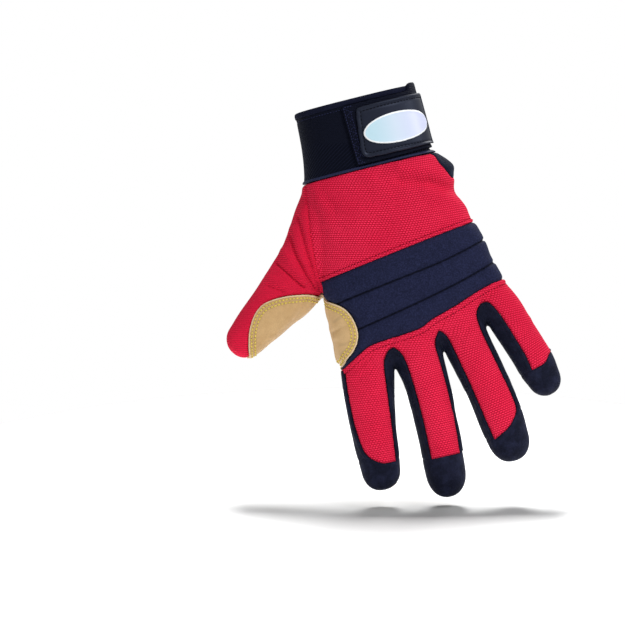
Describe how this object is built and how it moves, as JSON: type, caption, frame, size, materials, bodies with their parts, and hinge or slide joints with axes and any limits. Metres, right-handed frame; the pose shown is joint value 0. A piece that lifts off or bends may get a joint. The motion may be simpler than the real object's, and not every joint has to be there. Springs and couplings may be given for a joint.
{
  "type": "rope rescue glove",
  "caption": "Left rope rescue glove: red knitted back, padded navy knuckle bar, tan leather palm and finger pads, elastic cuff with a strap.",
  "frame": {"origin": "centre of the cuff's mouth, where the wrist goes in", "axes": "+Z out of the cuff along the wrist, fingers towards -Z; -Y is the way the back of the hand faces, +Y the palm; the thumb is at -X and the little finger at +X"},
  "size_m": [0.1831, 0.0522, 0.2358],
  "materials": {
    "red_knit": "matt knitted cloth with rows of small dark stitches",
    "neoprene": "matt laminated foam cloth",
    "stretch_cloth": "matt stretch cloth",
    "elastic": "ribbed elastic",
    "piping": "smooth bound cord with a slight shine",
    "goatskin": "soft grained leather, satin",
    "rubber_patch": "moulded, satin",
    "badge": "glossy pale silver"
  },
  "bodies": {
    "root": {"cuff_band": "elastic", "cuff_binding": "elastic", "cuff_piping": "piping", "closure_strap": "elastic", "closure_patch": "rubber_patch", "badge": "badge", "back_panel": "red_knit", "thumb_back": "red_knit", "finger_backs": "red_knit", "knuckle_pad": "neoprene", "palm_base": "stretch_cloth", "wrist_gusset": "stretch_cloth", "index_side": "stretch_cloth", "index_middle_gusset": "stretch_cloth", "middle_ring_gusset": "stretch_cloth", "ring_little_gusset": "stretch_cloth", "index_tip": "stretch_cloth", "middle_tip": "stretch_cloth", "ring_tip": "stretch_cloth", "little_tip": "stretch_cloth", "palm_patch": "goatskin", "index_pad": "goatskin", "middle_pad": "goatskin", "ring_pad": "goatskin", "little_pad": "goatskin"}
  },
  "joints": []
}
